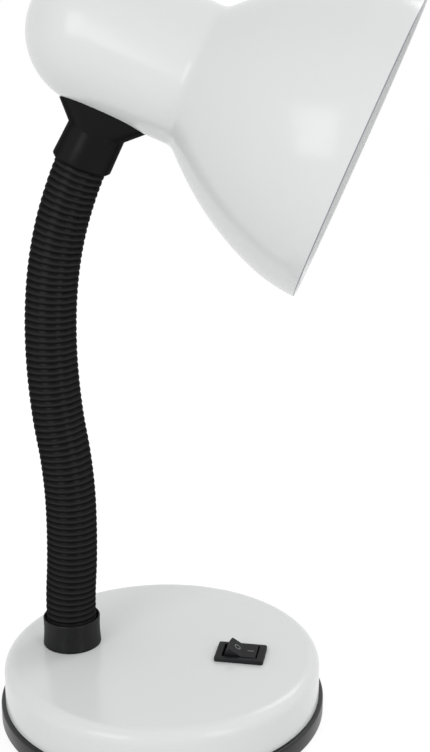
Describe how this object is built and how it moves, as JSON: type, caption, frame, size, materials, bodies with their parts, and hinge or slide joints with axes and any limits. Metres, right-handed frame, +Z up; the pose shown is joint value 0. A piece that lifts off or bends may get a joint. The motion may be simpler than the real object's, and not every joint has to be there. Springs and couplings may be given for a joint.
{
  "type": "gooseneck desk lamp",
  "caption": "Desk lamp with a round weighted base, rocker switch, ribbed bending neck and a bell-shaped shade.",
  "frame": {"origin": "centre of the flat underside of the foot pad, on the table", "axes": "+Z up, +X to the front, the way the shade faces, +Y to the left"},
  "size_m": [0.1717, 0.14, 0.3133],
  "materials": {
    "white_paint": "gloss white paint",
    "black_plastic": "black moulded plastic, semi-gloss",
    "sleeve_rubber": "black ribbed soft PVC, semi-gloss",
    "switch_plastic": "black, satin",
    "pad_foam": "black foam, matt",
    "cast_iron": "cast, bare",
    "zinc_steel": "zinc plated",
    "brass": "drawn",
    "lead_pvc": "white PVC",
    "holder_ceramic": "glazed, off-white",
    "cap_metal": "rolled",
    "opal_glass": "opal, satin"
  },
  "bodies": {
    "base": {"foot_pad": "pad_foam", "base_tray": "black_plastic", "tray_screws": "zinc_steel", "base_weight": "cast_iron", "cover_posts": "zinc_steel", "base_cover": "white_paint", "cable_grommet": "black_plastic", "switch_housing": "switch_plastic", "switch_terminals": "brass", "switch_lead": "lead_pvc", "neck_foot_collar": "black_plastic", "neck_foot_nipple": "brass", "neck_foot_washer": "zinc_steel", "neck_foot_nut": "brass", "neck_core_0": "zinc_steel", "neck_sleeve_0": "sleeve_rubber"},
    "rocker": {"switch_rocker": "switch_plastic"},
    "neck_1": {"neck_core_1": "zinc_steel", "neck_sleeve_1": "sleeve_rubber"},
    "neck_2": {"neck_core_2": "zinc_steel", "neck_sleeve_2": "sleeve_rubber"},
    "neck_3": {"neck_core_3": "zinc_steel", "neck_sleeve_3": "sleeve_rubber"},
    "neck_4": {"neck_core_4": "zinc_steel", "neck_sleeve_4": "sleeve_rubber"},
    "neck_5": {"neck_core_5": "zinc_steel", "neck_sleeve_5": "sleeve_rubber"},
    "neck_6": {"neck_core_6": "zinc_steel", "neck_sleeve_6": "sleeve_rubber"},
    "neck_7": {"neck_core_7": "zinc_steel", "neck_sleeve_7": "sleeve_rubber"},
    "neck_8": {"neck_core_8": "zinc_steel", "neck_sleeve_8": "sleeve_rubber"},
    "neck_9": {"neck_core_9": "zinc_steel", "neck_sleeve_9": "sleeve_rubber"},
    "neck_10": {"neck_core_10": "zinc_steel", "neck_sleeve_10": "sleeve_rubber"},
    "neck_11": {"neck_core_11": "zinc_steel", "neck_sleeve_11": "sleeve_rubber"},
    "head": {"neck_core_12": "zinc_steel", "neck_sleeve_12": "sleeve_rubber", "top_coupling": "black_plastic", "head_nipple": "brass", "head_washer": "zinc_steel", "head_nut": "brass", "shade": "white_paint", "holder_bracket": "zinc_steel", "holder_screws": "zinc_steel", "holder_body": "holder_ceramic", "holder_shell": "brass", "holder_contact": "brass", "head_lead": "lead_pvc", "bulb_globe": "opal_glass", "bulb_cap": "cap_metal", "bulb_contact": "cast_iron"}
  },
  "joints": [
    {"name": "rocker_tilt", "type": "hinge", "parent": "base", "child": "rocker", "pos_m": [0.0344, 0, 0.027], "axis": [0, -1, 0], "range_deg": [0, 32]},
    {"name": "neck_bend_low", "type": "hinge", "parent": "base", "child": "neck_1", "pos_m": [-0.0405, 0, 0.0492], "axis": [0, 1, 0], "range_deg": [-10, 10]},
    {"name": "neck_sway_low", "type": "hinge", "parent": "neck_1", "child": "neck_2", "pos_m": [-0.03951, 0, 0.06537], "axis": [0.999, 0, -0.0436], "range_deg": [-10, 10]},
    {"name": "neck_bend_low_2", "type": "hinge", "parent": "neck_2", "child": "neck_3", "pos_m": [-0.03909, 0, 0.08156], "axis": [0, 1, 0], "range_deg": [-10, 10]},
    {"name": "neck_sway_low_2", "type": "hinge", "parent": "neck_3", "child": "neck_4", "pos_m": [-0.03937, 0, 0.09776], "axis": [0.9986, 0, 0.0523], "range_deg": [-10, 10]},
    {"name": "neck_bend_low_3", "type": "hinge", "parent": "neck_4", "child": "neck_5", "pos_m": [-0.04078, 0, 0.1139], "axis": [0, 1, 0], "range_deg": [-10, 10]},
    {"name": "neck_sway_low_3", "type": "hinge", "parent": "neck_5", "child": "neck_6", "pos_m": [-0.04318, 0, 0.12992], "axis": [0.9925, 0, 0.1219], "range_deg": [-10, 10]},
    {"name": "neck_bend_high", "type": "hinge", "parent": "neck_6", "child": "neck_7", "pos_m": [-0.04473, 0, 0.14605], "axis": [0, 1, 0], "range_deg": [-10, 10]},
    {"name": "neck_sway_high", "type": "hinge", "parent": "neck_7", "child": "neck_8", "pos_m": [-0.04529, 0, 0.16224], "axis": [1, 0, 0], "range_deg": [-10, 10]},
    {"name": "neck_bend_high_2", "type": "hinge", "parent": "neck_8", "child": "neck_9", "pos_m": [-0.04473, 0, 0.17843], "axis": [0, 1, 0], "range_deg": [-10, 10]},
    {"name": "neck_sway_high_2", "type": "hinge", "parent": "neck_9", "child": "neck_10", "pos_m": [-0.0429, 0, 0.19452], "axis": [0.987, 0, -0.1607], "range_deg": [-10, 10]},
    {"name": "neck_bend_high_3", "type": "hinge", "parent": "neck_10", "child": "neck_11", "pos_m": [-0.03953, 0, 0.21037], "axis": [0, 1, 0], "range_deg": [-10, 10]},
    {"name": "neck_sway_high_3", "type": "hinge", "parent": "neck_11", "child": "head", "pos_m": [-0.03452, 0, 0.22578], "axis": [0.9382, 0, -0.3461], "range_deg": [-10, 10]}
  ],
  "couplings": [
    {"joint": "neck_bend_low_2", "follows": "neck_bend_low", "ratio": 1},
    {"joint": "neck_sway_low_2", "follows": "neck_sway_low", "ratio": 1},
    {"joint": "neck_bend_low_3", "follows": "neck_bend_low", "ratio": 1},
    {"joint": "neck_sway_low_3", "follows": "neck_sway_low", "ratio": 1},
    {"joint": "neck_bend_high_2", "follows": "neck_bend_high", "ratio": 1},
    {"joint": "neck_sway_high_2", "follows": "neck_sway_high", "ratio": 1},
    {"joint": "neck_bend_high_3", "follows": "neck_bend_high", "ratio": 1},
    {"joint": "neck_sway_high_3", "follows": "neck_sway_high", "ratio": 1}
  ]
}
